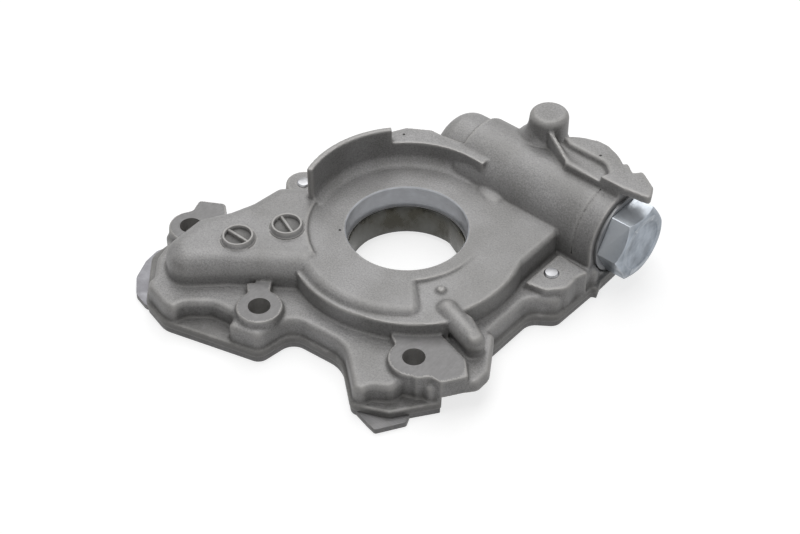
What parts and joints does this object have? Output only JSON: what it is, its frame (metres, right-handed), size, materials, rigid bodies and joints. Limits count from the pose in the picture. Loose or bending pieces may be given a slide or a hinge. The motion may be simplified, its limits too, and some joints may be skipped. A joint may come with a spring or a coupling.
{
  "type": "engine oil pump",
  "caption": "Crank-driven gerotor oil pump in a die-cast housing, with steel rear cover and a spring-loaded relief valve under a hex plug.",
  "frame": {"origin": "on the crankshaft axis at the rear of the cover, the face that meets the engine", "axes": "+Z along the crankshaft towards the front of the engine, +X along the relief valve towards its plug"},
  "size_m": [0.154, 0.1603, 0.0486],
  "materials": {
    "cast_aluminium": "grey die casting, shot-blasted",
    "cover_steel": "ground steel plate",
    "sintered_steel": "sintered and ground steel, oiled",
    "ground_steel": "hardened and ground",
    "spring_steel": "oil-tempered wire",
    "zinc_plated_steel": "bright zinc plating with a blue tint",
    "washer_aluminium": "soft aluminium ring",
    "screw_steel": "bright zinc-plated steel"
  },
  "bodies": {
    "housing": {"pump_housing": "cast_aluminium", "rear_cover": "cover_steel", "relief_plug": "zinc_plated_steel", "plug_washer": "washer_aluminium", "relief_spring": "spring_steel", "cover_screw_1": "screw_steel", "cover_screw_2": "screw_steel", "cover_screw_3": "screw_steel", "cover_screw_4": "screw_steel", "cover_screw_5": "screw_steel", "cover_screw_6": "screw_steel", "cover_screw_7": "screw_steel", "cover_screw_8": "screw_steel"},
    "inner_rotor": {"inner_rotor": "sintered_steel"},
    "outer_rotor": {"outer_rotor": "sintered_steel"},
    "relief_piston": {"relief_piston": "ground_steel"}
  },
  "joints": [
    {"name": "inner_rotor_spin", "type": "hinge", "parent": "housing", "child": "inner_rotor", "pos_m": [0, 0, 0.008], "axis": [0, 0, 1], "continuous": true},
    {"name": "outer_rotor_spin", "type": "hinge", "parent": "housing", "child": "outer_rotor", "pos_m": [0.00177, -0.00177, 0.008], "axis": [0, 0, 1], "continuous": true},
    {"name": "relief_slide", "type": "slide", "parent": "housing", "child": "relief_piston", "axis": [1, 0, 0], "range_m": [0, 0.01], "stiffness_N_per_m": 5000, "springref_m": -0.02, "deforming": ["relief_spring"]}
  ],
  "couplings": [
    {"joint": "outer_rotor_spin", "follows": "inner_rotor_spin", "ratio": 0.90909}
  ]
}
